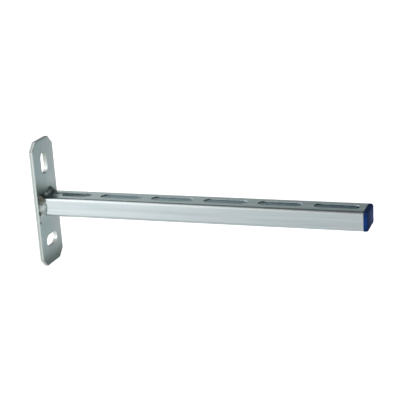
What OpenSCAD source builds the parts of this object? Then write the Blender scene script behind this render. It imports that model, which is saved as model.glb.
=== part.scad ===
// Cantilever strut arm: a slotted C-section rail welded square to a wall plate,
// with a moulded cap pushed into its free end.
// The origin is the centre of the plate's wall face, +X runs out along the arm and +Z is up.
// Left and right are those of someone who looks out from the wall, so left is +Y.

/* [Back plate] */
// Width of the plate across the arm
plate_width = 40; // [40:1:70]
// Height of the plate
plate_height = 120; // [105:1:180]
// Thickness of the plate
plate_thickness = 4; // [3:0.5:8]
// Leg of the cut at each corner of the plate
plate_corner = 7.5; // [2:0.5:11]
// Broken edge that stamping leaves round both faces of the plate
plate_edge = 0.4; // [0.1:0.1:1]
// Length of each bolt slot in the plate
wall_slot_length = 21; // [14:0.5:24]
// Width of each bolt slot in the plate
wall_slot_width = 12; // [8:0.5:13]
// Height from the middle of the lower bolt slot to the middle of the upper one
wall_slot_spacing = 75; // [72:1:84]
// Drop of the rail's axis below the middle of the plate
rail_drop = 1.5; // [0:0.5:3]

/* [Rail] */
// Length of the rail from the plate to the cap
rail_length = 300; // [120:5:600]
// Width of the rail over its side walls
rail_width = 27; // [24:0.5:27]
// Height of the rail from its lips to its slotted base
rail_height = 18; // [15:0.5:24]
// Thickness of the rail's sheet
rail_sheet = 1.5; // [1:0.25:2]
// Inside radius of the four bends
rail_bend = 1.25; // [0.5:0.25:2]
// Width of the mouth between the two lips
rail_mouth = 15; // [11:0.5:17]

/* [Rail slots] */
// Length of each slot in the rail's base
rail_slot_length = 40; // [20:1:60]
// Width of each slot in the rail's base
rail_slot_width = 11; // [6.5:0.5:13]
// Steel left between one slot and the next
rail_slot_web = 10; // [6:1:30]

/* [Weld] */
// Leg of the bead along each side of the rail, at the bottom of the rail
weld_side_leg = 6; // [3:0.5:6]
// Leg of the bead along the rail's top corners and across its top
weld_top_leg = 3; // [2:0.5:3]
// Depth of the drops' centres below the plate and the rail
weld_sink = 2.5; // [2.5:0.25:4]
// How much further out the drops sit at the rail's top corners than at its bottom
weld_spread = 3.5; // [0:0.25:3.5]
// How far the run up the right side passes the run across the top, and the left one stops short
weld_over = 2.5; // [0:0.5:2.5]
// Spacing of the drops that make up the bead
weld_pitch = 3.5; // [2:0.5:6]
// Difference in radius between the fullest drop and the thinnest
weld_uneven = 1; // [0:0.1:1]
// Radius of the lump left where the run across the top began
weld_lump = 2.5; // [1:0.5:3]
// Distance of that lump to the left of the rail's middle
weld_lump_left = 7; // [-8:0.5:8]
// Length of the tail that the bead leaves on the plate below the rail
weld_run_out = 3; // [1:0.5:5]
// Height of that tail off the plate
weld_tail = 1.8; // [0.8:0.2:2.4]

/* [End cap] */
// Thickness of the cap's head beyond the end of the rail
cap_head = 4; // [3:0.5:10]
// Rounding of the outer edge of the cap's head
cap_round = 2; // [0.5:0.25:2.5]
// Depth of the hollow plug inside the rail
cap_plug = 9; // [5:0.5:20]
// Wall of the hollow plug
cap_wall = 1.6; // [1:0.2:3]
// Gap left between the plug and the inside of the rail
cap_gap = 0.2; // [0.1:0.05:0.4]
// Width of each grip rib on the sides of the plug
cap_rib = 2; // [1:0.25:3]

/* [Hidden] */
$fn = 64;
rail_start = plate_thickness;
rail_end = rail_start + rail_length;
rail_radius = rail_bend + rail_sheet;
rail_slot_pitch = rail_slot_length + rail_slot_web;
rail_slot_count = floor(rail_length / rail_slot_pitch);
rail_slot_first = rail_start + (rail_length - (rail_slot_count - 1) * rail_slot_pitch) / 2;
golden_angle = 137.5;
side_drop = drop_radius(weld_side_leg, weld_sink);
corner_drop = drop_radius(weld_top_leg, weld_sink - weld_spread);
top_drop = drop_radius(weld_top_leg, weld_sink);
tail_drop = weld_sink + weld_tail;
tail_reach = sqrt(tail_drop * tail_drop - weld_sink * weld_sink);
seam_y = rail_width / 2 - weld_sink;
seam_top = rail_height / 2 - weld_sink;
seam_low = side_drop - rail_height / 2;
plug_width = rail_width - 2 * (rail_sheet + cap_gap);
plug_height = rail_height - 2 * (rail_sheet + cap_gap);

// A drop of this radius, its centre this deep below the rail's face, leaves a bead with the given leg
function drop_radius(leg, depth) = norm([leg + weld_sink, depth]);

// What the drop at this place in a row loses in radius, by an even spread that never repeats
function drop_loss(i) = weld_uneven * (1 + sin(i * golden_angle)) / 2;

// Number of equal steps, near the drops' spacing, that divide a run of the seam
function seam_steps(run) = max(1, round(run / weld_pitch));

// A bar along +X with rounded corners, centred on the rail's axis
module rounded_bar(length, width, height, radius) {
  rotate([90, 0, 90])
    linear_extrude(length)
      union() {
        square([width - 2 * radius, height], center = true);
        square([width, height - 2 * radius], center = true);
        for (y = [-1, 1], z = [-1, 1])
          translate([y * (width / 2 - radius), z * (height / 2 - radius)])
            circle(radius);
      }
}

// A round-ended slot along +X, cut through in Z
module slot_cut(length, width, depth) {
  linear_extrude(depth, center = true) {
    square([length - width, width], center = true);
    for (end = [-1, 1])
      translate([end * (length - width) / 2, 0])
        circle(d = width);
  }
}

// Moves what is drawn on the rail's axis to the height of the rail on the plate
module at_rail(x) {
  translate([x, 0, -rail_drop]) children();
}

// A flat bar through the plate, turned to the given angle, with both faces' edges broken
module plate_slab(width, angle) {
  reach = plate_width + plate_height;
  half = width / 2;
  rotate([angle, 0, 0])
    linear_extrude(reach, center = true)
      polygon([
        [0, plate_edge - half],
        [plate_edge, -half],
        [plate_thickness - plate_edge, -half],
        [plate_thickness, plate_edge - half],
        [plate_thickness, half - plate_edge],
        [plate_thickness - plate_edge, half],
        [plate_edge, half],
        [0, half - plate_edge],
      ]);
}

// The plate is what four slabs share: its sides, its ends and both pairs of cut corners
module plate_blank() {
  corner_width = (plate_width + plate_height - 2 * plate_corner) / sqrt(2);
  intersection() {
    plate_slab(plate_width, 0);
    plate_slab(plate_height, 90);
    plate_slab(corner_width, 45);
    plate_slab(corner_width, -45);
  }
}

module back_plate() {
  color("lightslategray")
    difference() {
      plate_blank();
      translate([plate_thickness / 2, 0, wall_slot_spacing / 2])
        rotate([0, 90, 0])
          slot_cut(wall_slot_length, wall_slot_width, 2 * plate_thickness);
      translate([plate_thickness / 2, 0, -wall_slot_spacing / 2])
        rotate([90, 0, 90])
          slot_cut(wall_slot_length, wall_slot_width, 2 * plate_thickness);
    }
}

module slotted_rail() {
  color("lightsteelblue")
    difference() {
      at_rail(rail_start)
        rounded_bar(rail_length, rail_width, rail_height, rail_radius);
      at_rail(rail_start - rail_sheet)
        rounded_bar(
          rail_length + 2 * rail_sheet,
          rail_width - 2 * rail_sheet,
          rail_height - 2 * rail_sheet,
          rail_bend
        );
      at_rail(rail_start + rail_length / 2)
        translate([0, 0, -rail_height / 2])
          cube([rail_length + 2 * rail_sheet, rail_mouth, 4 * rail_sheet], center = true);
      for (i = [0 : rail_slot_count - 1])
        at_rail(rail_slot_first + i * rail_slot_pitch)
          translate([0, 0, rail_height / 2])
            slot_cut(rail_slot_length, rail_slot_width, 4 * rail_sheet);
    }
}

// A row of uneven drops along the seam that grows from one radius to another
module drop_row(from, to, from_radius, to_radius) {
  steps = seam_steps(norm(to - from));
  for (i = [0 : steps])
    translate(from + (to - from) * i / steps)
      sphere(from_radius + (to_radius - from_radius) * i / steps - drop_loss(i));
}

module weld_bead() {
  reach = 2 * side_drop;
  tail_y = rail_width / 2 + weld_tail;
  tail_low = tail_reach - weld_run_out - rail_height / 2;
  color("dimgray")
    difference() {
      at_rail(plate_thickness) {
        for (side = [-1, 1]) {
          tail = [-weld_sink, side * tail_y, tail_low];
          foot = [-weld_sink, side * seam_y, seam_low];
          corner = [-weld_sink, side * (seam_y + weld_spread), seam_top - side * weld_over];
          drop_row(tail, foot, tail_drop, side_drop);
          drop_row(foot, corner, side_drop, corner_drop);
        }
        drop_row([-weld_sink, seam_y, seam_top], [-weld_sink, -seam_y, seam_top], top_drop, top_drop);
        translate([0, weld_lump_left, rail_height / 2 + weld_lump])
          sphere(weld_lump);
      }
      at_rail(plate_thickness - reach)
        rounded_bar(2 * reach, rail_width, rail_height, rail_radius);
      translate([plate_thickness - reach, -plate_width, -plate_height])
        cube([reach, 2 * plate_width, 2 * plate_height]);
    }
}

// One rounded corner of the cap's head, standing along +Z
module cap_corner() {
  round = min(cap_round, rail_radius);
  rotate_extrude($fn = 32)
    intersection() {
      union() {
        square([rail_radius, cap_head - round]);
        square([rail_radius - round, cap_head]);
        translate([rail_radius - round, cap_head - round])
          circle(round, $fn = 32);
      }
      square([rail_radius, cap_head]);
    }
}

module head_block() {
  rotate([90, 0, 90])
    hull()
      for (y = [-1, 1], z = [-1, 1])
        translate([y * (rail_width / 2 - rail_radius), z * (rail_height / 2 - rail_radius)])
          cap_corner();
}

module plug_sleeve() {
  inner_radius = max(rail_bend - cap_gap, cap_gap);
  difference() {
    union() {
      rounded_bar(cap_plug, plug_width, plug_height, inner_radius);
      for (side = [-1, 1])
        translate([cap_plug / 2, side * plug_width / 2, 0])
          cube([cap_plug, 2 * cap_gap, cap_rib], center = true);
    }
    translate([-cap_plug, 0, 0])
      translate([0, (cap_wall * 2 - plug_width) / 2, (cap_wall * 2 - plug_height) / 2])
        cube([2 * cap_plug, plug_width - 2 * cap_wall, plug_height - 2 * cap_wall]);
  }
}

module end_cap() {
  color("midnightblue")
    union() {
      at_rail(rail_end) head_block();
      at_rail(rail_end - cap_plug) plug_sleeve();
    }
}

back_plate();
slotted_rail();
weld_bead();
end_cap();
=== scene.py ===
"""Cantilever strut arm: finishes for its plate, rail, weld and cap, and a white table to show it on.

Sides are named as the camera sees the arm: near is -Y, far is +Y, left is -X and right is +X.
"""
import math

import bmesh
import bpy
from bpy.props import FloatProperty, FloatVectorProperty, PointerProperty
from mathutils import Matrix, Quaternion, Vector


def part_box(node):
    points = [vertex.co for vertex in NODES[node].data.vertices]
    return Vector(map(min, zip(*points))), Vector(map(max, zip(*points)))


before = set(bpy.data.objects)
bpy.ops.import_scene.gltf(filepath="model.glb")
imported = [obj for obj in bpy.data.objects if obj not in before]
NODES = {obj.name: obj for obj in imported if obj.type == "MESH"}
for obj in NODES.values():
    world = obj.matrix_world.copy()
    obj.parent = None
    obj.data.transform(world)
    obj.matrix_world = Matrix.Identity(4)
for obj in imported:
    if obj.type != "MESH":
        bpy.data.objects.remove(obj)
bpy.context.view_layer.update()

bl_info = {
    "name": "Cantilever Strut Arm",
    "version": (1, 0, 0),
    "blender": (4, 5, 0),
    "location": "View3D > Sidebar > Strut Arm",
    "description": "Finishes a slotted strut arm in zinc and blue plastic, and lights it on a white table",
    "category": "Object",
}

PLATE_LOW, PLATE_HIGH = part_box("back_plate")
RAIL_LOW, RAIL_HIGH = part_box("slotted_rail")
CAP_LOW, CAP_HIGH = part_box("end_cap")
MM = 0.001

# Sockets of a Mix node that mixes colours
MIX_FACTOR = 0
MIX_FIRST = 6
MIX_SECOND = 7
MIX_COLOUR = 2

# Dark specks, each as its centre and its radius in millimetres: one over the toe of the bead, which marks
# the plate and the bead alike, and one on the plate below the bead's tail
PLATE_FRONT = PLATE_HIGH.x / MM
TOE_SPECK = ((PLATE_FRONT, -19, -6), 3.5)
TAIL_SPECK = ((PLATE_FRONT, -18.5, -15.5), 2.5)


def linear(code):
    """Turns an sRGB hex colour into the linear red, green and blue that Blender mixes."""
    parts = [int(code[i:i + 2], 16) / 255 for i in (1, 3, 5)]
    return [c / 12.92 if c <= 0.04045 else ((c + 0.055) / 1.055) ** 2.4 for c in parts]


def opaque(colour):
    """A colour as the four numbers that a colour socket takes."""
    return (*colour, 1.0)


def grey(level):
    """A grey of this brightness, from 0 for black to 1 for white."""
    return (level, level, level, 1.0)


def per_mm(size):
    """The scale at which a texture's features are this many millimetres across."""
    return 1 / (size * MM)


def add_node(tree, kind, settings=None, links=None):
    """Adds a node, sets its inputs, fields and colour stops, and links other nodes' outputs to it."""
    node = tree.nodes.new(kind)
    for name, value in (settings or {}).items():
        if name == "stops":
            first, *middle, last = value
            node.color_ramp.elements[0].position, node.color_ramp.elements[0].color = first
            node.color_ramp.elements[1].position, node.color_ramp.elements[1].color = last
            for position, colour in middle:
                node.color_ramp.elements.new(position).color = colour
        elif isinstance(name, int) or name in node.inputs:
            node.inputs[name].default_value = value
        else:
            setattr(node, name, value)
    for name, source in (links or {}).items():
        tree.links.new(source, node.inputs[name])
    return node


def new_material(name):
    """An empty node material, with its output node and the Object coordinates that its patterns follow."""
    material = bpy.data.materials.new(name)
    material.use_nodes = True
    tree = material.node_tree
    tree.nodes.clear()
    output = add_node(tree, "ShaderNodeOutputMaterial")
    place = add_node(tree, "ShaderNodeTexCoord").outputs["Object"]
    return material, tree, output, place


def spot(tree, place, centre, radius):
    """A mask that is 1 at a point, given in millimetres, and fades to 0 at this radius from it."""
    away = add_node(
        tree, "ShaderNodeVectorMath",
        {"operation": "DISTANCE", 1: [axis * MM for axis in centre]},
        {0: place},
    )
    mask = add_node(
        tree, "ShaderNodeMapRange",
        {
            "interpolation_type": "SMOOTHSTEP", "From Min": 0.0, "From Max": radius * MM,
            "To Min": 1.0, "To Max": 0.0,
        },
        {"Value": away.outputs["Value"]},
    )
    return mask.outputs["Result"]


def dress(node_name, material):
    """Puts one material on the whole of a CAD node."""
    mesh = NODES[node_name].data
    mesh.materials.clear()
    mesh.materials.append(material)


def colour_property(code, name, description):
    """A colour that a user can pick, with an sRGB hex default."""
    return FloatVectorProperty(
        name=name, description=description, subtype="COLOR", size=3, min=0, max=1, default=linear(code)
    )


def share_property(value, name, description):
    """A number from 0 to 1, such as a roughness."""
    return FloatProperty(name=name, description=description, subtype="FACTOR", min=0, max=1, default=value)


def light_property(value, name, description):
    """The brightness of a light."""
    return FloatProperty(name=name, description=description, min=0, default=value)


def length_property(value, name, description):
    """A real length, given in metres."""
    return FloatProperty(
        name=name, description=description, subtype="DISTANCE", unit="LENGTH", default=value
    )


def angle_property(degrees, name, description):
    """An angle, given in degrees and kept in radians."""
    return FloatProperty(
        name=name, description=description, subtype="ANGLE", unit="ROTATION", default=math.radians(degrees)
    )


class PlateFinish(bpy.types.PropertyGroup):
    """Colours and roughness of the back plate"""
    zinc: colour_property("#B7CDCF", "Zinc", "Colour of the plate's faces")
    streak: colour_property("#9CB0B3", "Streak", "Colour of the streaks that rolling left in the strip")
    bloom: colour_property("#C9D0D1", "Bloom", "Colour of the faint clouds that the passivating bath left")
    edge: colour_property("#D2D8D5", "Edge", "Colour of the sheared edges")
    shear: colour_property("#9AA19E", "Shear line", "Colour of the line where the shear let go")
    slot_wall: colour_property("#EEF1EF", "Slot wall", "Colour of the walls of the two slots")
    slot_stain: colour_property("#B4BBB4", "Slot stain", "Colour of the stain in the upper slot")
    # Dirt and painted shade: the colour that darkens the plate's edges that face up
    shade_and_dirt: colour_property("#7C8482", "Grime", "Colour of the dirt on the edges that face up")
    # Painted shade: the colour painted over the plate's lower end
    low_shade: colour_property("#55625F", "Dull end", "Colour of the duller lower end of the plate")
    heat: colour_property("#94A7A0", "Heat tint", "Colour of the plate just above the weld")
    speck: colour_property("#3C4542", "Speck", "Colour of the burnt specks beside the weld")
    roughness: share_property(0.42, "Roughness", "Roughness of the plated strip")
    edge_roughness: share_property(0.65, "Edge roughness", "Roughness of the sheared edges")


class RailFinish(bpy.types.PropertyGroup):
    """Colours and roughness of the slotted rail"""
    zinc: colour_property("#D6E1E4", "Zinc", "Colour of the rail's zinc")
    streak: colour_property("#C5D1D2", "Streak", "Colour of the fine lines drawn along the rail")
    bloom: colour_property("#D9DAE0", "Bloom", "Colour of the faint clouds that the passivating bath left")
    bend: colour_property("#CFD4D4", "Bend", "Colour of the upper bends, where the rollers rubbed them")
    # Painted shade: the darker colour painted inside the channel
    inside: colour_property("#9DABB0", "Inside", "Colour of the thin zinc inside the rail")
    burnt: colour_property("#7F8E91", "Burnt", "Colour of the top of the rail beside the weld")
    # Painted shade: the dark colour on the slot walls at the end next to the plate
    end_wall_shade: colour_property("#626D6B", "Torn", "Colour of the walls at the end of each slot next to the plate")
    # Painted highlight: the near-white colour of the run, for its glint through the first slot
    run: colour_property("#F4F6F7", "Run", "Colour of the run of zinc inside the rail next to the plate")
    roughness: share_property(0.26, "Roughness", "Roughness of the plated sheet")
    punched_roughness: share_property(0.55, "Punched roughness", "Roughness of the slots' walls at the top")


class WeldFinish(bpy.types.PropertyGroup):
    """Colours and roughness of the weld bead"""
    zinc: colour_property("#C9D2CF", "Zinc", "Colour of the zinc that took on the bead")
    tarnish: colour_property("#99A3A0", "Tarnish", "Colour of the duller patches in that zinc")
    scale: colour_property("#7F8375", "Scale", "Colour of the brown scale on the upper part of each side")
    ash: colour_property("#A0ADAC", "Ash", "Colour of the grey scale along the top of the bead")
    # Soot, and the painted shadow in the hollow on top of the bead
    soot_and_shadow: colour_property("#242B28", "Soot", "Colour of the black patches in the scale")
    lump: colour_property("#536464", "Lump", "Colour of the lump where the top run began")
    roughness: share_property(0.5, "Roughness", "Roughness of the bead")


class CapFinish(bpy.types.PropertyGroup):
    """Colours and roughness of the end cap"""
    plastic: colour_property("#0C3575", "Plastic", "Colour of the cap")
    scuff: colour_property("#153C7B", "Scuff", "Colour where the cap is rubbed")
    # Dirt and painted shade: the colour that darkens the cap's top, edges and end face
    shade_and_dirt: colour_property("#101827", "Grime", "Colour of the dirt on top of the cap and along its edges")
    roughness: share_property(0.5, "Roughness", "Roughness of the moulded skin")
    grime_roughness: share_property(0.8, "Grime roughness", "Roughness of the dirt")


class StageSettings(bpy.types.PropertyGroup):
    """The table, the lights and the camera"""
    table: colour_property("#F2F2F2", "Table", "Colour of the table top")
    table_lift: light_property(0.67, "Table lift", "Light that the table adds where it is seen")
    table_drop: length_property(0.25, "Table drop", "Height of the arm's middle above the table")
    table_reach: length_property(24.0, "Table reach", "Length of each side of the table")
    room_light: light_property(1.38, "Room light", "Brightness of the room on the left")
    softbox_light: light_property(3.0, "Softbox light", "Brightness of the big softbox at its left end")
    fill_light: light_property(1.7, "Fill light", "Brightness of the weaker softbox at its right end")
    camera_azimuth: angle_property(20.15, "Azimuth", "Turn of the camera from square on to the arm")
    camera_elevation: angle_property(17.19, "Elevation", "Height of the camera above level")
    camera_roll: angle_property(-3.72, "Roll", "Tilt of the camera about its own line of sight")
    camera_distance: length_property(0.97269, "Distance", "From the camera to the point that it looks at")
    target_out: length_property(0.15528, "Target out", "How far out from the wall the camera looks")
    target_up: length_property(0.00762, "Target up", "How far above the plate's middle the camera looks")
    lens: FloatProperty(name="Lens", description="Focal length in mm", default=98.45)


GROUPS = {
    "strut_plate": PlateFinish,
    "strut_rail": RailFinish,
    "strut_weld": WeldFinish,
    "strut_cap": CapFinish,
    "strut_stage": StageSettings,
}


def plate_heat(tree, place, axes):
    """A mask for the ragged band that the weld's heat stained above the rail, higher on the near side."""
    rag_size = 5
    rag_depth = 6 * MM
    slope = 0.3
    foot_start = -3 * MM
    foot_full = 4 * MM
    top_full = 13 * MM
    top_end = 27 * MM
    rag = add_node(
        tree, "ShaderNodeTexNoise", {"Scale": per_mm(rag_size), "Detail": 4.0}, {"Vector": place}
    )
    sloped = add_node(
        tree, "ShaderNodeMath", {"operation": "MULTIPLY_ADD", 1: slope},
        {0: axes.outputs["Y"], 2: axes.outputs["Z"]},
    )
    height = add_node(
        tree, "ShaderNodeMath", {"operation": "MULTIPLY_ADD", 1: rag_depth},
        {0: rag.outputs["Fac"], 2: sloped.outputs["Value"]},
    )
    above = add_node(
        tree, "ShaderNodeMapRange",
        {
            "interpolation_type": "SMOOTHSTEP", "From Min": top_full, "From Max": top_end,
            "To Min": 1.0, "To Max": 0.0,
        },
        {"Value": height.outputs["Value"]},
    )
    beside = add_node(
        tree, "ShaderNodeMapRange",
        {"interpolation_type": "SMOOTHSTEP", "From Min": foot_start, "From Max": foot_full},
        {"Value": axes.outputs["Z"]},
    )
    stain = add_node(
        tree, "ShaderNodeMath", {"operation": "MULTIPLY"},
        {0: above.outputs["Result"], 1: beside.outputs["Result"]},
    )
    return stain.outputs["Value"]


def plate_face(tree, place, axes, downward, finish):
    """The plate's flat faces, with what rolling, plating and the weld's heat left on them, and painted shade
    towards the lower end.
    """
    # Real rolling streaks are finer, and these are drawn as coarse as they need to show
    streak_sizes = (4, 2.5, 60)
    along = add_node(
        tree, "ShaderNodeMapping", {"Scale": [per_mm(size) for size in streak_sizes]}, {"Vector": place}
    )
    streaks = add_node(
        tree, "ShaderNodeTexNoise", {"Scale": 1.0, "Detail": 4.0}, {"Vector": along.outputs["Vector"]}
    )
    tone = add_node(
        tree, "ShaderNodeMix",
        {"data_type": "RGBA", MIX_FIRST: opaque(finish.zinc), MIX_SECOND: opaque(finish.streak)},
        {MIX_FACTOR: streaks.outputs["Fac"]},
    )
    # The bloom lies in clouds, and thickens towards the far edge
    cloud_size = 22
    cloud_share = 0.4
    far_start = -4 * MM
    far_full = 18 * MM
    far_share = 0.6
    clouds = add_node(
        tree, "ShaderNodeTexNoise", {"Scale": per_mm(cloud_size), "Detail": 2.0}, {"Vector": place}
    )
    far_side = add_node(
        tree, "ShaderNodeMapRange",
        {"From Min": far_start, "From Max": far_full, "To Min": 0.0, "To Max": far_share},
        {"Value": axes.outputs["Y"]},
    )
    cloudy = add_node(
        tree, "ShaderNodeMath", {"operation": "MULTIPLY_ADD", "use_clamp": True, 1: cloud_share},
        {0: clouds.outputs["Fac"], 2: far_side.outputs["Result"]},
    )
    tone = add_node(
        tree, "ShaderNodeMix",
        {"data_type": "RGBA", MIX_SECOND: opaque(finish.bloom)},
        {MIX_FACTOR: cloudy.outputs["Value"], MIX_FIRST: tone.outputs[MIX_COLOUR]},
    )
    # Painted shade: how much darker the plate is painted at each share of the way down to its lower end
    low_shading = ((0.0, 0.0), (0.25, 0.28), (0.5, 0.3), (0.73, 0.54), (0.92, 1.0))
    low_end = add_node(
        tree, "ShaderNodeValToRGB", {"stops": [(way, grey(share)) for way, share in low_shading]},
        {"Fac": downward},
    )
    tone = add_node(
        tree, "ShaderNodeMix",
        {"data_type": "RGBA", MIX_SECOND: opaque(finish.low_shade)},
        {MIX_FACTOR: low_end.outputs["Color"], MIX_FIRST: tone.outputs[MIX_COLOUR]},
    )
    tone = add_node(
        tree, "ShaderNodeMix",
        {"data_type": "RGBA", MIX_SECOND: opaque(finish.heat)},
        {MIX_FACTOR: plate_heat(tree, place, axes), MIX_FIRST: tone.outputs[MIX_COLOUR]},
    )
    for speck in (TOE_SPECK, TAIL_SPECK):
        tone = add_node(
            tree, "ShaderNodeMix",
            {"data_type": "RGBA", MIX_SECOND: opaque(finish.speck)},
            {MIX_FACTOR: spot(tree, place, *speck), MIX_FIRST: tone.outputs[MIX_COLOUR]},
        )
    return tone.outputs[MIX_COLOUR]


def plate_shade_and_dirt(tree, axes, normal, in_slot):
    """A mask for dirt and painted shade on edges that face up: most in the upper slot, less in the lower,
    least on top.
    """
    face_up_start = 0.4
    top_start = 50 * MM
    top_full = 53 * MM
    top_share = 0.5
    upper_start = 15 * MM
    upper_full = 25 * MM
    lower_start = -39.5 * MM
    lower_full = -41.5 * MM
    lower_share = 0.75
    upward = add_node(
        tree, "ShaderNodeMapRange",
        {"From Min": face_up_start, "From Max": 1.0},
        {"Value": normal.outputs["Z"]},
    )
    thick = add_node(
        tree, "ShaderNodeMapRange",
        {"From Min": top_start, "From Max": top_full, "To Min": 1.0, "To Max": top_share},
        {"Value": axes.outputs["Z"]},
    )
    high = add_node(
        tree, "ShaderNodeMapRange",
        {"From Min": upper_start, "From Max": upper_full},
        {"Value": axes.outputs["Z"]},
    )
    low = add_node(
        tree, "ShaderNodeMapRange",
        {"From Min": lower_start, "From Max": lower_full, "To Min": 0.0, "To Max": lower_share},
        {"Value": axes.outputs["Z"]},
    )
    darkened = upward.outputs["Result"]
    for share in (thick, high):
        darkened = add_node(
            tree, "ShaderNodeMath", {"operation": "MULTIPLY"}, {0: darkened, 1: share.outputs["Result"]}
        ).outputs["Value"]
    darkened = add_node(
        tree, "ShaderNodeMath", {"operation": "MULTIPLY_ADD"},
        {0: low.outputs["Result"], 1: in_slot, 2: darkened},
    )
    return darkened.outputs["Value"]


def plate_edge(tree, axes, normal, downward, finish):
    """The plate's cut edges and the walls of its slots, with dirt and painted shade on them."""
    # The shear let go in a darker line, at this share of the way through the plate
    shear_line = 0.42
    shear_spread = 0.12
    through = add_node(
        tree, "ShaderNodeMapRange",
        {"From Min": PLATE_LOW.x, "From Max": PLATE_HIGH.x},
        {"Value": axes.outputs["X"]},
    )
    outer = add_node(
        tree, "ShaderNodeValToRGB",
        {
            "stops": [
                (shear_line - shear_spread, opaque(finish.edge)),
                (shear_line, opaque(finish.shear)),
                (shear_line + shear_spread, opaque(finish.edge)),
            ],
        },
        {"Fac": through.outputs["Result"]},
    )
    # Painted shade: the outer edges are painted a little darker towards the lower end, as the faces are
    low_shade_share = 0.12
    low_end = add_node(
        tree, "ShaderNodeMapRange", {"To Min": 0.0, "To Max": low_shade_share}, {"Value": downward}
    )
    outer = add_node(
        tree, "ShaderNodeMix",
        {"data_type": "RGBA", MIX_SECOND: opaque(finish.low_shade)},
        {MIX_FACTOR: low_end.outputs["Result"], MIX_FIRST: outer.outputs["Color"]},
    )
    # The walls of the two slots are brighter, but for a stain in the upper part of the upper one
    slot_side = 11 * MM
    slot_end = 50 * MM
    stain_start = 31 * MM
    stain_full = 41 * MM
    sideways = add_node(
        tree, "ShaderNodeMath", {"operation": "ABSOLUTE"}, {0: axes.outputs["Y"]}
    )
    within = add_node(
        tree, "ShaderNodeMath", {"operation": "LESS_THAN", 1: slot_side}, {0: sideways.outputs["Value"]}
    )
    up_or_down = add_node(
        tree, "ShaderNodeMath", {"operation": "ABSOLUTE"}, {0: axes.outputs["Z"]}
    )
    inboard = add_node(
        tree, "ShaderNodeMath", {"operation": "LESS_THAN", 1: slot_end}, {0: up_or_down.outputs["Value"]}
    )
    in_slot = add_node(
        tree, "ShaderNodeMath", {"operation": "MULTIPLY"},
        {0: within.outputs["Value"], 1: inboard.outputs["Value"]},
    ).outputs["Value"]
    stained = add_node(
        tree, "ShaderNodeMapRange",
        {"From Min": stain_start, "From Max": stain_full},
        {"Value": axes.outputs["Z"]},
    )
    wall = add_node(
        tree, "ShaderNodeMix",
        {"data_type": "RGBA", MIX_FIRST: opaque(finish.slot_wall), MIX_SECOND: opaque(finish.slot_stain)},
        {MIX_FACTOR: stained.outputs["Result"]},
    )
    tone = add_node(
        tree, "ShaderNodeMix", {"data_type": "RGBA"},
        {
            MIX_FACTOR: in_slot,
            MIX_FIRST: outer.outputs[MIX_COLOUR],
            MIX_SECOND: wall.outputs[MIX_COLOUR],
        },
    )
    # Dirt and painted shade darken the edges that face up
    tone = add_node(
        tree, "ShaderNodeMix",
        {"data_type": "RGBA", MIX_SECOND: opaque(finish.shade_and_dirt)},
        {MIX_FACTOR: plate_shade_and_dirt(tree, axes, normal, in_slot), MIX_FIRST: tone.outputs[MIX_COLOUR]},
    )
    return tone.outputs[MIX_COLOUR]


def plate_zinc(finish):
    """Zinc plated on hot-rolled strip: satin grey, with faint streaks along the strip and brighter edges."""
    material, tree, output, place = new_material("zinc_plated_strip")
    axes = add_node(tree, "ShaderNodeSeparateXYZ", {}, {"Vector": place})
    normal = add_node(
        tree, "ShaderNodeSeparateXYZ", {},
        {"Vector": add_node(tree, "ShaderNodeNewGeometry").outputs["Normal"]},
    )
    # The share of the way from just below the plate's middle to its lower end
    low_shade_start = -5 * MM
    downward = add_node(
        tree, "ShaderNodeMapRange",
        {"From Min": low_shade_start, "From Max": PLATE_LOW.z},
        {"Value": axes.outputs["Z"]},
    ).outputs["Result"]
    on_face = add_node(
        tree, "ShaderNodeMath", {"operation": "ABSOLUTE"}, {0: normal.outputs["X"]}
    )
    tone = add_node(
        tree, "ShaderNodeMix", {"data_type": "RGBA"},
        {
            MIX_FACTOR: on_face.outputs["Value"],
            MIX_FIRST: plate_edge(tree, axes, normal, downward, finish),
            MIX_SECOND: plate_face(tree, place, axes, downward, finish),
        },
    )
    satin = add_node(
        tree, "ShaderNodeMapRange",
        {"To Min": finish.edge_roughness, "To Max": finish.roughness},
        {"Value": on_face.outputs["Value"]},
    )
    shader = add_node(
        tree, "ShaderNodeBsdfPrincipled",
        {"Metallic": 1.0},
        {"Base Color": tone.outputs[MIX_COLOUR], "Roughness": satin.outputs["Result"]},
    )
    tree.links.new(shader.outputs["BSDF"], output.inputs["Surface"])
    return material


def rail_sheet(tree, place, finish):
    """The rail's sheet as it was rolled and plated, with lines along it and faint clouds."""
    # Real drawn lines are finer, and these are drawn as coarse as they need to show
    line_sizes = (120, 3, 3)
    line_start = 0.35
    line_full = 0.65
    along = add_node(
        tree, "ShaderNodeMapping", {"Scale": [per_mm(size) for size in line_sizes]}, {"Vector": place}
    )
    lines = add_node(
        tree, "ShaderNodeTexNoise", {"Scale": 1.0, "Detail": 4.0}, {"Vector": along.outputs["Vector"]}
    )
    drawn = add_node(
        tree, "ShaderNodeMapRange",
        {"From Min": line_start, "From Max": line_full},
        {"Value": lines.outputs["Fac"]},
    )
    tone = add_node(
        tree, "ShaderNodeMix",
        {"data_type": "RGBA", MIX_FIRST: opaque(finish.zinc), MIX_SECOND: opaque(finish.streak)},
        {MIX_FACTOR: drawn.outputs["Result"]},
    )
    cloud_size = 28
    cloud_start = 0.42
    cloud_full = 0.68
    cloud_share = 0.35
    clouds = add_node(
        tree, "ShaderNodeTexNoise", {"Scale": per_mm(cloud_size), "Detail": 2.0}, {"Vector": place}
    )
    cloudy = add_node(
        tree, "ShaderNodeMapRange",
        {"From Min": cloud_start, "From Max": cloud_full, "To Min": 0.0, "To Max": cloud_share},
        {"Value": clouds.outputs["Fac"]},
    )
    tone = add_node(
        tree, "ShaderNodeMix",
        {"data_type": "RGBA", MIX_SECOND: opaque(finish.bloom)},
        {MIX_FACTOR: cloudy.outputs["Result"], MIX_FIRST: tone.outputs[MIX_COLOUR]},
    )
    return tone.outputs[MIX_COLOUR]


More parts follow.
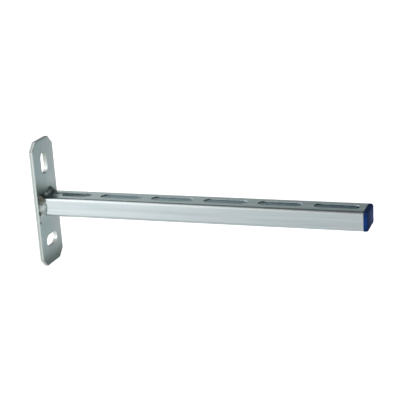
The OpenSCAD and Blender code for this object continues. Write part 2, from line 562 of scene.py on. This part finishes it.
def rail_inside(tree, axes):
    """A mask that is 1 on the inside of the channel and 0 on the rail's outer skin."""
    # Less than half of the sheet's thickness
    skin = 0.7 * MM
    across = add_node(
        tree, "ShaderNodeMath", {"operation": "ABSOLUTE"}, {0: axes.outputs["Y"]}
    )
    between = add_node(
        tree, "ShaderNodeMath", {"operation": "LESS_THAN", 1: RAIL_HIGH.y - skin},
        {0: across.outputs["Value"]},
    )
    under = add_node(
        tree, "ShaderNodeMath", {"operation": "LESS_THAN", 1: RAIL_HIGH.z - skin}, {0: axes.outputs["Z"]}
    )
    over = add_node(
        tree, "ShaderNodeMath", {"operation": "GREATER_THAN", 1: RAIL_LOW.z + skin}, {0: axes.outputs["Z"]}
    )
    inside = between.outputs["Value"]
    for test in (under, over):
        inside = add_node(
            tree, "ShaderNodeMath", {"operation": "MULTIPLY"}, {0: inside, 1: test.outputs["Value"]}
        ).outputs["Value"]
    return inside


def slot_walls(tree, axes, normal):
    """A mask that is 1 on the walls of the rail's slots and 0 elsewhere."""
    # How far up or down a wall faces at most
    flattest = 0.5
    # Just over the sheet's thickness, and just over half of a slot's width
    wall_depth = 1.6 * MM
    slot_half = 6 * MM
    level = add_node(
        tree, "ShaderNodeMath", {"operation": "ABSOLUTE"}, {0: normal.outputs["Z"]}
    )
    upright = add_node(
        tree, "ShaderNodeMath", {"operation": "LESS_THAN", 1: flattest}, {0: level.outputs["Value"]}
    )
    in_base = add_node(
        tree, "ShaderNodeMath", {"operation": "GREATER_THAN", 1: RAIL_HIGH.z - wall_depth},
        {0: axes.outputs["Z"]},
    )
    across = add_node(
        tree, "ShaderNodeMath", {"operation": "ABSOLUTE"}, {0: axes.outputs["Y"]}
    )
    central = add_node(
        tree, "ShaderNodeMath", {"operation": "LESS_THAN", 1: slot_half}, {0: across.outputs["Value"]}
    )
    wall = upright.outputs["Value"]
    for test in (in_base, central):
        wall = add_node(
            tree, "ShaderNodeMath", {"operation": "MULTIPLY"}, {0: wall, 1: test.outputs["Value"]}
        ).outputs["Value"]
    return wall


def rail_burn(tree, place, axes, normal):
    """A mask for the ragged patch that the weld's heat burnt on top of the rail, longer on the near side."""
    rag_size = 5
    rag_depth = 10 * MM
    slope = 0.5
    burn_full = 12 * MM
    burn_end = 23 * MM
    burn_share = 0.95
    level_start = 0.7
    level_full = 0.95
    rag = add_node(
        tree, "ShaderNodeTexNoise", {"Scale": per_mm(rag_size), "Detail": 4.0}, {"Vector": place}
    )
    sloped = add_node(
        tree, "ShaderNodeMath", {"operation": "MULTIPLY_ADD", 1: slope},
        {0: axes.outputs["Y"], 2: axes.outputs["X"]},
    )
    out = add_node(
        tree, "ShaderNodeMath", {"operation": "MULTIPLY_ADD", 1: rag_depth},
        {0: rag.outputs["Fac"], 2: sloped.outputs["Value"]},
    )
    near_weld = add_node(
        tree, "ShaderNodeMapRange",
        {
            "interpolation_type": "SMOOTHSTEP", "From Min": burn_full, "From Max": burn_end,
            "To Min": burn_share, "To Max": 0.0,
        },
        {"Value": out.outputs["Value"]},
    )
    on_top = add_node(
        tree, "ShaderNodeMapRange",
        {"From Min": level_start, "From Max": level_full},
        {"Value": normal.outputs["Z"]},
    )
    burn = add_node(
        tree, "ShaderNodeMath", {"operation": "MULTIPLY"},
        {0: near_weld.outputs["Result"], 1: on_top.outputs["Result"]},
    )
    return burn.outputs["Value"]


def rail_zinc(finish):
    """Zinc plated on roll-formed sheet: bright and bluish, with fine lines along the rail."""
    material, tree, output, place = new_material("zinc_plated_rolled_sheet")
    axes = add_node(tree, "ShaderNodeSeparateXYZ", {}, {"Vector": place})
    normal = add_node(
        tree, "ShaderNodeSeparateXYZ", {},
        {"Vector": add_node(tree, "ShaderNodeNewGeometry").outputs["Normal"]},
    )
    # Painted shade: the inside of the channel is painted darker, and darkest towards its capped end
    shaded_start = 110 * MM
    shaded_full = 320 * MM
    shaded_least = 0.25
    inside = rail_inside(tree, axes)
    deep = add_node(
        tree, "ShaderNodeMapRange",
        {
            "interpolation_type": "SMOOTHSTEP", "From Min": shaded_start, "From Max": shaded_full,
            "To Min": shaded_least, "To Max": 1.0,
        },
        {"Value": axes.outputs["X"]},
    )
    shaded = add_node(
        tree, "ShaderNodeMath", {"operation": "MULTIPLY"}, {0: inside, 1: deep.outputs["Result"]}
    )
    tone = add_node(
        tree, "ShaderNodeMix",
        {"data_type": "RGBA", MIX_SECOND: opaque(finish.inside)},
        {MIX_FACTOR: shaded.outputs["Value"], MIX_FIRST: rail_sheet(tree, place, finish)},
    )
    # Painted shade: the walls of the slots at the end next to the plate, which lie in shade, are painted
    # dark
    end_wall_shade_full = 0.5
    wall = slot_walls(tree, axes, normal)
    outward = add_node(
        tree, "ShaderNodeMapRange", {"From Min": 0.0, "From Max": end_wall_shade_full}, {"Value": normal.outputs["X"]}
    )
    end_wall_shade = add_node(
        tree, "ShaderNodeMath", {"operation": "MULTIPLY"}, {0: outward.outputs["Result"], 1: wall}
    )
    tone = add_node(
        tree, "ShaderNodeMix",
        {"data_type": "RGBA", MIX_SECOND: opaque(finish.end_wall_shade)},
        {MIX_FACTOR: end_wall_shade.outputs["Value"], MIX_FIRST: tone.outputs[MIX_COLOUR]},
    )
    # The punch rubbed the upper part of each wall, which is rougher and catches the light
    rub_depth = 0.7 * MM
    high = add_node(
        tree, "ShaderNodeMath", {"operation": "GREATER_THAN", 1: RAIL_HIGH.z - rub_depth},
        {0: axes.outputs["Z"]},
    )
    rubbed = add_node(
        tree, "ShaderNodeMath", {"operation": "MULTIPLY"}, {0: high.outputs["Value"], 1: wall}
    )
    gloss = add_node(
        tree, "ShaderNodeMapRange",
        {"To Min": finish.roughness, "To Max": finish.punched_roughness},
        {"Value": rubbed.outputs["Value"]},
    )
    # A run of zinc inside the far wall stands proud, and its underside glints through the first slot; its
    # near-white colour is a painted highlight that brightens the glint
    glint_centre = (8.5, 12, 6.5)
    glint_radius = 7.5
    run_height = 1.9 * MM
    run = add_node(
        tree, "ShaderNodeMath", {"operation": "MULTIPLY"},
        {0: spot(tree, place, glint_centre, glint_radius), 1: inside},
    )
    tone = add_node(
        tree, "ShaderNodeMix",
        {"data_type": "RGBA", MIX_SECOND: opaque(finish.run)},
        {MIX_FACTOR: run.outputs["Value"], MIX_FIRST: tone.outputs[MIX_COLOUR]},
    )
    proud = add_node(tree, "ShaderNodeBump", {"Distance": run_height}, {"Height": run.outputs["Value"]})
    # The rollers rubbed the upper bends below the crest, which leaves them less blue. How rubbed they are
    # goes by how far they face up, from 0 on the rail's sides to 1 on its top
    rubbing = ((0.05, 0.0), (0.2, 1.0), (0.6, 1.0), (0.8, 0.0))
    bends = add_node(
        tree, "ShaderNodeValToRGB", {"stops": [(upward, grey(share)) for upward, share in rubbing]},
        {"Fac": normal.outputs["Z"]},
    )
    tone = add_node(
        tree, "ShaderNodeMix",
        {"data_type": "RGBA", MIX_SECOND: opaque(finish.bend)},
        {MIX_FACTOR: bends.outputs["Color"], MIX_FIRST: tone.outputs[MIX_COLOUR]},
    )
    tone = add_node(
        tree, "ShaderNodeMix",
        {"data_type": "RGBA", MIX_SECOND: opaque(finish.burnt)},
        {MIX_FACTOR: rail_burn(tree, place, axes, normal), MIX_FIRST: tone.outputs[MIX_COLOUR]},
    )
    shader = add_node(
        tree, "ShaderNodeBsdfPrincipled",
        {"Metallic": 1.0},
        {
            "Base Color": tone.outputs[MIX_COLOUR],
            "Roughness": gloss.outputs["Result"],
            "Normal": proud.outputs["Normal"],
        },
    )
    tree.links.new(shader.outputs["BSDF"], output.inputs["Surface"])
    return material


def weld_scale(tree, axes, rag):
    """A mask for the scale above the zinc on each side of the bead, which starts higher by the rail."""
    climb_slope = -0.35
    rag_depth = 6 * MM
    scale_start = 2.5 * MM
    scale_full = 4.5 * MM
    climb = add_node(
        tree, "ShaderNodeMath", {"operation": "MULTIPLY_ADD", 1: climb_slope},
        {0: axes.outputs["X"], 2: axes.outputs["Z"]},
    )
    height = add_node(
        tree, "ShaderNodeMath", {"operation": "MULTIPLY_ADD", 1: rag_depth},
        {0: rag.outputs["Fac"], 2: climb.outputs["Value"]},
    )
    scaly = add_node(
        tree, "ShaderNodeMapRange",
        {"interpolation_type": "SMOOTHSTEP", "From Min": scale_start, "From Max": scale_full},
        {"Value": height.outputs["Value"]},
    )
    return scaly.outputs["Result"]


def weld_side(tree, patches, scaly, sooty, finish):
    """The sides of the bead: patchy zinc below, and brown scale with soot above."""
    tarnish_start = 0.4
    tarnish_full = 0.6
    tarnished = add_node(
        tree, "ShaderNodeMapRange",
        {"From Min": tarnish_start, "From Max": tarnish_full},
        {"Value": patches.outputs["Fac"]},
    )
    bright = add_node(
        tree, "ShaderNodeMix",
        {"data_type": "RGBA", MIX_FIRST: opaque(finish.zinc), MIX_SECOND: opaque(finish.tarnish)},
        {MIX_FACTOR: tarnished.outputs["Result"]},
    )
    brown = add_node(
        tree, "ShaderNodeMix",
        {"data_type": "RGBA", MIX_FIRST: opaque(finish.scale), MIX_SECOND: opaque(finish.soot_and_shadow)},
        {MIX_FACTOR: sooty},
    )
    side = add_node(
        tree, "ShaderNodeMix", {"data_type": "RGBA"},
        {
            MIX_FACTOR: scaly,
            MIX_FIRST: bright.outputs[MIX_COLOUR],
            MIX_SECOND: brown.outputs[MIX_COLOUR],
        },
    )
    return side.outputs[MIX_COLOUR]


def weld_crust(tree, axes, rag, sooty, finish):
    """The top of the bead, whose scale changes from the hollow at the near end to the lump and beyond, with
    a painted shadow in the hollow.
    """
    rag_depth = 4 * MM
    near_end = -14 * MM
    far_end = 18 * MM
    across = add_node(
        tree, "ShaderNodeMath", {"operation": "MULTIPLY_ADD", 1: rag_depth},
        {0: rag.outputs["Fac"], 2: axes.outputs["Y"]},
    )
    along_top = add_node(
        tree, "ShaderNodeMapRange",
        {"From Min": near_end, "From Max": far_end},
        {"Value": across.outputs["Value"]},
    )
    crust = add_node(
        tree, "ShaderNodeValToRGB",
        {
            "stops": [
                (0.0, opaque(finish.scale)),
                # Painted shadow: the black band in the hollow near the near end
                (0.05, opaque(finish.soot_and_shadow)),
                (0.22, opaque(finish.soot_and_shadow)),
                (0.3, opaque(finish.ash)),
                (0.54, opaque(finish.ash)),
                (0.62, opaque(finish.lump)),
                (0.78, opaque(finish.lump)),
                (0.86, opaque(finish.tarnish)),
            ],
        },
        {"Fac": along_top.outputs["Result"]},
    )
    crust = add_node(
        tree, "ShaderNodeMix",
        {"data_type": "RGBA", MIX_SECOND: opaque(finish.soot_and_shadow)},
        {MIX_FACTOR: sooty, MIX_FIRST: crust.outputs["Color"]},
    )
    return crust.outputs[MIX_COLOUR]


def weld_metal(finish):
    """Weld metal that was zinc-plated: silvery where the zinc took, brown, grey or black with scale, and
    with a painted shadow in the hollow on top.
    """
    material, tree, output, place = new_material("zinc_plated_weld_bead")
    axes = add_node(tree, "ShaderNodeSeparateXYZ", {}, {"Vector": place})
    rag_size = 3
    rag = add_node(
        tree, "ShaderNodeTexNoise", {"Scale": per_mm(rag_size), "Detail": 5.0}, {"Vector": place}
    )
    scaly = weld_scale(tree, axes, rag)
    # Soot sits in patches on the scale
    patch_size = 3.5
    soot_start = 0.4
    soot_full = 0.65
    soot_share = 0.7
    patches = add_node(
        tree, "ShaderNodeTexNoise", {"Scale": per_mm(patch_size), "Detail": 3.0}, {"Vector": place}
    )
    sooty = add_node(
        tree, "ShaderNodeMapRange",
        {"From Min": soot_start, "From Max": soot_full, "To Min": 0.0, "To Max": soot_share},
        {"Value": patches.outputs["Fac"]},
    ).outputs["Result"]
    top_start = 6 * MM
    top_full = 8 * MM
    on_top = add_node(
        tree, "ShaderNodeMapRange",
        {"interpolation_type": "SMOOTHSTEP", "From Min": top_start, "From Max": top_full},
        {"Value": axes.outputs["Z"]},
    )
    tone = add_node(
        tree, "ShaderNodeMix", {"data_type": "RGBA"},
        {
            MIX_FACTOR: on_top.outputs["Result"],
            MIX_FIRST: weld_side(tree, patches, scaly, sooty, finish),
            MIX_SECOND: weld_crust(tree, axes, rag, sooty, finish),
        },
    )
    tone = add_node(
        tree, "ShaderNodeMix",
        {"data_type": "RGBA", MIX_SECOND: opaque(finish.soot_and_shadow)},
        {MIX_FACTOR: spot(tree, place, *TOE_SPECK), MIX_FIRST: tone.outputs[MIX_COLOUR]},
    )
    # Where there is no scale, the zinc shines as metal
    bare = add_node(
        tree, "ShaderNodeMapRange", {"To Min": 1.0, "To Max": 0.0}, {"Value": scaly}
    )
    grain_size = 1.6
    grain_height = 0.4 * MM
    grain_strength = 0.5
    grain = add_node(
        tree, "ShaderNodeTexNoise", {"Scale": per_mm(grain_size), "Detail": 3.0}, {"Vector": place}
    )
    bump = add_node(
        tree, "ShaderNodeBump",
        {"Strength": grain_strength, "Distance": grain_height},
        {"Height": grain.outputs["Fac"]},
    )
    shader = add_node(
        tree, "ShaderNodeBsdfPrincipled",
        {"Roughness": finish.roughness},
        {
            "Base Color": tone.outputs[MIX_COLOUR],
            "Metallic": bare.outputs["Result"],
            "Normal": bump.outputs["Normal"],
        },
    )
    tree.links.new(shader.outputs["BSDF"], output.inputs["Surface"])
    return material


def cap_shade_and_dirt(tree, axes, normal):
    """A mask for dirt and painted shade on the cap: on top, towards its upper and lower edges, and on its
    end face.
    """
    face_up_start = 0.3
    top_share = 0.8
    upward = add_node(
        tree, "ShaderNodeMapRange",
        {"From Min": face_up_start, "From Max": 1.0, "To Min": 0.0, "To Max": top_share},
        {"Value": normal.outputs["Z"]},
    )
    # Painted shade away from the middle of the cap's height
    edge_start = 2 * MM
    edge_full = 9 * MM
    edge_share = 0.6
    off_middle = add_node(
        tree, "ShaderNodeMath", {"operation": "SUBTRACT", 1: (CAP_LOW.z + CAP_HIGH.z) / 2},
        {0: axes.outputs["Z"]},
    )
    up_or_down = add_node(
        tree, "ShaderNodeMath", {"operation": "ABSOLUTE"}, {0: off_middle.outputs["Value"]}
    )
    by_edge = add_node(
        tree, "ShaderNodeMapRange",
        {"From Min": edge_start, "From Max": edge_full, "To Min": 0.0, "To Max": edge_share},
        {"Value": up_or_down.outputs["Value"]},
    )
    # Painted shade on the end face: thickest along the near edge, and gone a little past the middle
    face_start = 0.5
    near_share = 0.8
    near_end = 4 * MM
    end_face = add_node(
        tree, "ShaderNodeMapRange", {"From Min": face_start, "From Max": 1.0}, {"Value": normal.outputs["X"]}
    )
    near_side = add_node(
        tree, "ShaderNodeMapRange",
        {"From Min": CAP_LOW.y, "From Max": near_end, "To Min": near_share, "To Max": 0.0},
        {"Value": axes.outputs["Y"]},
    )
    end_face_shade = add_node(
        tree, "ShaderNodeMath", {"operation": "MULTIPLY"},
        {0: end_face.outputs["Result"], 1: near_side.outputs["Result"]},
    )
    shade_and_dirt_mask = upward.outputs["Result"]
    for mask in (by_edge.outputs["Result"], end_face_shade.outputs["Value"]):
        shade_and_dirt_mask = add_node(
            tree, "ShaderNodeMath", {"operation": "MAXIMUM"}, {0: shade_and_dirt_mask, 1: mask}
        ).outputs["Value"]
    return shade_and_dirt_mask


def cap_plastic(finish):
    """Moulded polyethylene: deep blue with a soft sheen, paler where it is rubbed, and darker on top with
    dirt and painted shade.
    """
    material, tree, output, place = new_material("moulded_polyethylene")
    axes = add_node(tree, "ShaderNodeSeparateXYZ", {}, {"Vector": place})
    normal = add_node(
        tree, "ShaderNodeSeparateXYZ", {},
        {"Vector": add_node(tree, "ShaderNodeNewGeometry").outputs["Normal"]},
    )
    rub_size = 6
    rub = add_node(
        tree, "ShaderNodeTexNoise", {"Scale": per_mm(rub_size), "Detail": 4.0}, {"Vector": place}
    )
    tone = add_node(
        tree, "ShaderNodeMix",
        {"data_type": "RGBA", MIX_FIRST: opaque(finish.plastic), MIX_SECOND: opaque(finish.scuff)},
        {MIX_FACTOR: rub.outputs["Fac"]},
    )
    # Dirt and painted shade darken the top, the upper and lower edges and the end face
    shade_and_dirt_mask = cap_shade_and_dirt(tree, axes, normal)
    tone = add_node(
        tree, "ShaderNodeMix",
        {"data_type": "RGBA", MIX_SECOND: opaque(finish.shade_and_dirt)},
        {MIX_FACTOR: shade_and_dirt_mask, MIX_FIRST: tone.outputs[MIX_COLOUR]},
    )
    matt = add_node(
        tree, "ShaderNodeMapRange",
        {"To Min": finish.roughness, "To Max": finish.grime_roughness},
        {"Value": shade_and_dirt_mask},
    )
    shader = add_node(
        tree, "ShaderNodeBsdfPrincipled",
        {"IOR": 1.51, "Specular IOR Level": 0.1},
        {"Base Color": tone.outputs[MIX_COLOUR], "Roughness": matt.outputs["Result"]},
    )
    tree.links.new(shader.outputs["BSDF"], output.inputs["Surface"])
    return material


def card_painted_shade(tree, axes):
    """Painted shade on the card: grey behind the arm's right end, and in front of the arm."""
    dark_start = 0.28
    dark_full = 0.6
    dark_level = 0.3
    behind = add_node(
        tree, "ShaderNodeMapRange",
        {
            "interpolation_type": "SMOOTHSTEP", "From Min": dark_start, "From Max": dark_full,
            "To Min": 1.0, "To Max": dark_level,
        },
        {"Value": axes.outputs["X"]},
    )
    # Brightness in front of the arm, at distances from the wall in metres
    left_end = -0.5
    right_end = 1.0
    shades = ((-0.44, 1.0), (-0.05, 0.565), (0.355, 0.47), (0.7, 0.9))
    sideways = add_node(
        tree, "ShaderNodeMapRange",
        {"From Min": left_end, "From Max": right_end},
        {"Value": axes.outputs["X"]},
    )
    ahead = add_node(
        tree, "ShaderNodeValToRGB",
        {"stops": [((x - left_end) / (right_end - left_end), grey(level)) for x, level in shades]},
        {"Fac": sideways.outputs["Result"]},
    )
    # The one grading runs into the other behind the arm
    join_start = 0.12
    join_end = 0.0
    front = add_node(
        tree, "ShaderNodeMapRange",
        {
            "interpolation_type": "SMOOTHSTEP", "From Min": join_start, "From Max": join_end,
            "To Min": 0.0, "To Max": 1.0,
        },
        {"Value": axes.outputs["Y"]},
    )
    grade = add_node(
        tree, "ShaderNodeMix", {"data_type": "RGBA"},
        {
            MIX_FACTOR: front.outputs["Result"],
            MIX_FIRST: behind.outputs["Result"],
            MIX_SECOND: ahead.outputs["Color"],
        },
    )
    return grade.outputs[MIX_COLOUR]


def table_card(stage):
    """White card: matt, with no sheen, and with painted shade graded on it so that the zinc has something
    darker to mirror.
    """
    material, tree, output, place = new_material("graded_white_card")
    axes = add_node(tree, "ShaderNodeSeparateXYZ", {}, {"Vector": place})
    shade = add_node(
        tree, "ShaderNodeMix",
        {"data_type": "RGBA", "blend_type": "MULTIPLY", MIX_FACTOR: 1.0, MIX_SECOND: opaque(stage.table)},
        {MIX_FIRST: card_painted_shade(tree, axes)},
    )
    # Where the card is seen, straight or mirrored, it is lifted to white, and still shows the shadow
    path = add_node(tree, "ShaderNodeLightPath")
    seen = path.outputs["Is Camera Ray"]
    for ray in ("Is Glossy Ray", "Is Transmission Ray"):
        seen = add_node(
            tree, "ShaderNodeMath", {"operation": "MAXIMUM"}, {0: seen, 1: path.outputs[ray]}
        ).outputs["Value"]
    lift = add_node(
        tree, "ShaderNodeMath", {"operation": "MULTIPLY", 1: stage.table_lift}, {0: seen}
    )
    shader = add_node(
        tree, "ShaderNodeBsdfPrincipled",
        {"Roughness": 0.9, "Specular IOR Level": 0.0},
        {
            "Base Color": shade.outputs[MIX_COLOUR],
            "Emission Color": shade.outputs[MIX_COLOUR],
            "Emission Strength": lift.outputs["Value"],
        },
    )
    tree.links.new(shader.outputs["BSDF"], output.inputs["Surface"])
    return material


class STRUT_OT_plate(bpy.types.Operator):
    """Finishes the back plate in satin zinc"""
    bl_idname = "strut.plate"
    bl_label = "Finish Plate"

    def execute(self, context):
        dress("back_plate", plate_zinc(context.scene.strut_plate))
        return {"FINISHED"}


class STRUT_OT_rail(bpy.types.Operator):
    """Finishes the slotted rail in bright zinc"""
    bl_idname = "strut.rail"
    bl_label = "Finish Rail"

    def execute(self, context):
        dress("slotted_rail", rail_zinc(context.scene.strut_rail))
        return {"FINISHED"}


def melt(node_name):
    """Runs a bead's drops into one another and gives it the uneven skin of metal that froze."""
    piece = NODES[node_name]
    joined = piece.modifiers.new("joined", "WELD")
    joined.merge_threshold = 0.001 * MM
    skin = piece.modifiers.new("skin", "REMESH")
    skin.mode = "VOXEL"
    skin.voxel_size = 0.35 * MM
    skin.use_smooth_shade = True
    run = piece.modifiers.new("run", "SMOOTH")
    run.factor = 0.5
    run.iterations = 3
    lumps = bpy.data.textures.new("lumps", "CLOUDS")
    lumps.noise_scale = 2 * MM
    uneven = piece.modifiers.new("uneven", "DISPLACE")
    uneven.texture = lumps
    uneven.texture_coords = "LOCAL"
    uneven.strength = 1 * MM


class STRUT_OT_weld(bpy.types.Operator):
    """Finishes the weld bead in zinc and scale"""
    bl_idname = "strut.weld"
    bl_label = "Finish Weld"

    def execute(self, context):
        dress("weld_bead", weld_metal(context.scene.strut_weld))
        melt("weld_bead")
        return {"FINISHED"}


class STRUT_OT_cap(bpy.types.Operator):
    """Finishes the end cap in blue plastic"""
    bl_idname = "strut.cap"
    bl_label = "Finish Cap"

    def execute(self, context):
        dress("end_cap", cap_plastic(context.scene.strut_cap))
        return {"FINISHED"}


def room_walls(tree, axes, turn, stage):
    """A pale room, bright low down behind the arm and dim above it, and dimmer towards the right."""
    # Linear colours, by degrees from the level behind the arm, up and over it, to the front
    walls = (
        (0, (0.85, 0.85, 0.85)),
        (8, (0.60, 0.64, 0.63)),
        (14, (0.44, 0.49, 0.48)),
        (24, (0.41, 0.46, 0.45)),
        (36, (0.21, 0.23, 0.23)),
        (60, (0.11, 0.12, 0.12)),
        (120, (0.11, 0.12, 0.12)),
        (145, (0.21, 0.23, 0.23)),
    )
    arc = add_node(
        tree, "ShaderNodeMapRange", {"From Min": 0.0, "From Max": math.pi}, {"Value": turn.outputs["Value"]}
    )
    colours = add_node(
        tree, "ShaderNodeValToRGB",
        {"stops": [(degrees / 180, opaque(colour)) for degrees, colour in walls]},
        {"Fac": arc.outputs["Result"]},
    )
    dim_start = -0.5
    dim_full = -0.15
    dim_share = 0.35
    brightness = add_node(
        tree, "ShaderNodeMapRange",
        {
            "From Min": dim_start, "From Max": dim_full,
            "To Min": stage.room_light, "To Max": dim_share * stage.room_light,
        },
        {"Value": axes.outputs["X"]},
    )
    room = add_node(
        tree, "ShaderNodeBackground", {},
        {"Color": colours.outputs["Color"], "Strength": brightness.outputs["Result"]},
    )
    return room.outputs["Background"]


def softboxes(tree, axes, turn, stage):
    """A big softbox in front of the arm to the left, and a weaker one to the right."""
    # The big one hangs askew, so its upper edge comes down towards the right, where it is also weaker
    lean = -math.radians(200)
    edge_start = math.radians(172)
    edge_full = math.radians(200)
    box_left = -0.8
    box_right = -0.13
    box_weakest = 0.1
    askew = add_node(
        tree, "ShaderNodeMath", {"operation": "MULTIPLY_ADD", 1: lean},
        {0: axes.outputs["X"], 2: turn.outputs["Value"]},
    )
    inside = add_node(
        tree, "ShaderNodeMapRange",
        {"interpolation_type": "SMOOTHSTEP", "From Min": edge_start, "From Max": edge_full},
        {"Value": askew.outputs["Value"]},
    )
    box_fall = add_node(
        tree, "ShaderNodeMapRange",
        {"From Min": box_left, "From Max": box_right, "To Min": stage.softbox_light, "To Max": box_weakest},
        {"Value": axes.outputs["X"]},
    )
    glow = add_node(
        tree, "ShaderNodeMath", {"operation": "MULTIPLY"},
        {0: inside.outputs["Result"], 1: box_fall.outputs["Result"]},
    )
    # The weaker one stands where the flat sides of the arm don't mirror it
    fill_edge = math.radians(95)
    fill_full = math.radians(150)
    fill_left = 0.08
    fill_right = 0.4
    ahead = add_node(
        tree, "ShaderNodeMapRange",
        {"interpolation_type": "SMOOTHSTEP", "From Min": fill_edge, "From Max": fill_full},
        {"Value": turn.outputs["Value"]},
    )
    fill_rise = add_node(
        tree, "ShaderNodeMapRange",
        {
            "interpolation_type": "SMOOTHSTEP", "From Min": fill_left, "From Max": fill_right,
            "To Min": 0.0, "To Max": stage.fill_light,
        },
        {"Value": axes.outputs["X"]},
    )
    glow = add_node(
        tree, "ShaderNodeMath", {"operation": "MULTIPLY_ADD"},
        {0: ahead.outputs["Result"], 1: fill_rise.outputs["Result"], 2: glow.outputs["Value"]},
    )
    boxes = add_node(
        tree, "ShaderNodeBackground", {"Color": grey(1.0)}, {"Strength": glow.outputs["Value"]}
    )
    return boxes.outputs["Background"]


def light_room(scene, stage):
    """Lights the arm by the room and two softboxes."""
    world = bpy.data.worlds.new("studio")
    world.use_nodes = True
    tree = world.node_tree
    tree.nodes.clear()
    output = add_node(tree, "ShaderNodeOutputWorld")
    way = add_node(tree, "ShaderNodeTexCoord").outputs["Generated"]
    axes = add_node(tree, "ShaderNodeSeparateXYZ", {}, {"Vector": way})
    # From 0 at the level behind the arm, over its top, to pi at the level in front of it
    turn = add_node(
        tree, "ShaderNodeMath", {"operation": "ARCTAN2"}, {0: axes.outputs["Z"], 1: axes.outputs["Y"]}
    )
    both = add_node(
        tree, "ShaderNodeAddShader", {},
        {0: room_walls(tree, axes, turn, stage), 1: softboxes(tree, axes, turn, stage)},
    )
    tree.links.new(both.outputs["Shader"], output.inputs["Surface"])
    scene.world = world


def lay_table(scene, stage):
    """A table top below the arm, wide enough to fill the picture."""
    mesh = bpy.data.meshes.new("table_top")
    shape = bmesh.new()
    bmesh.ops.create_grid(shape, x_segments=1, y_segments=1, size=stage.table_reach / 2)
    bmesh.ops.translate(shape, verts=shape.verts, vec=(0, 0, -stage.table_drop))
    shape.to_mesh(mesh)
    shape.free()
    mesh.materials.append(table_card(stage))
    table = bpy.data.objects.new("table_top", mesh)
    scene.collection.objects.link(table)


def set_camera(scene, stage):
    """The camera, placed by its angles about the point that it looks at."""
    data = bpy.data.cameras.new("view")
    data.sensor_width = 36
    data.lens = stage.lens
    data.clip_start = 0.01
    data.clip_end = 100
    camera = bpy.data.objects.new("view", data)
    level = math.cos(stage.camera_elevation)
    back = Vector((
        math.sin(stage.camera_azimuth) * level,
        -math.cos(stage.camera_azimuth) * level,
        math.sin(stage.camera_elevation),
    ))
    camera.location = Vector((stage.target_out, 0, stage.target_up)) + back * stage.camera_distance
    camera.rotation_mode = "QUATERNION"
    tilt = Quaternion((0, 0, 1), stage.camera_roll)
    camera.rotation_quaternion = (-back).to_track_quat("-Z", "Y") @ tilt
    scene.collection.objects.link(camera)
    scene.camera = camera


class STRUT_OT_stage(bpy.types.Operator):
    """Lays the table, lights the room and sets the camera"""
    bl_idname = "strut.stage"
    bl_label = "Set Stage"

    def execute(self, context):
        scene = context.scene
        scene.view_settings.view_transform = "Standard"
        light_room(scene, scene.strut_stage)
        lay_table(scene, scene.strut_stage)
        set_camera(scene, scene.strut_stage)
        return {"FINISHED"}


OPERATORS = (STRUT_OT_plate, STRUT_OT_rail, STRUT_OT_weld, STRUT_OT_cap, STRUT_OT_stage)


class STRUT_PT_panel(bpy.types.Panel):
    """Lists the finishes of the arm and its stage"""
    bl_idname = "STRUT_PT_panel"
    bl_label = "Strut Arm"
    bl_space_type = "VIEW_3D"
    bl_region_type = "UI"
    bl_category = "Strut Arm"

    def draw(self, context):
        for (name, group), operator in zip(GROUPS.items(), OPERATORS):
            box = self.layout.box()
            for field in group.__annotations__:
                box.prop(getattr(context.scene, name), field)
            box.operator(operator.bl_idname)


CLASSES = (*GROUPS.values(), *OPERATORS, STRUT_PT_panel)


def register():
    for cls in CLASSES:
        bpy.utils.register_class(cls)
    for name, group in GROUPS.items():
        setattr(bpy.types.Scene, name, PointerProperty(type=group))


def unregister():
    for name in GROUPS:
        delattr(bpy.types.Scene, name)
    for cls in reversed(CLASSES):
        bpy.utils.unregister_class(cls)


def main():
    register()
    bpy.ops.strut.plate()
    bpy.ops.strut.rail()
    bpy.ops.strut.weld()
    bpy.ops.strut.cap()
    bpy.ops.strut.stage()


if __name__ == "__main__":
    main()
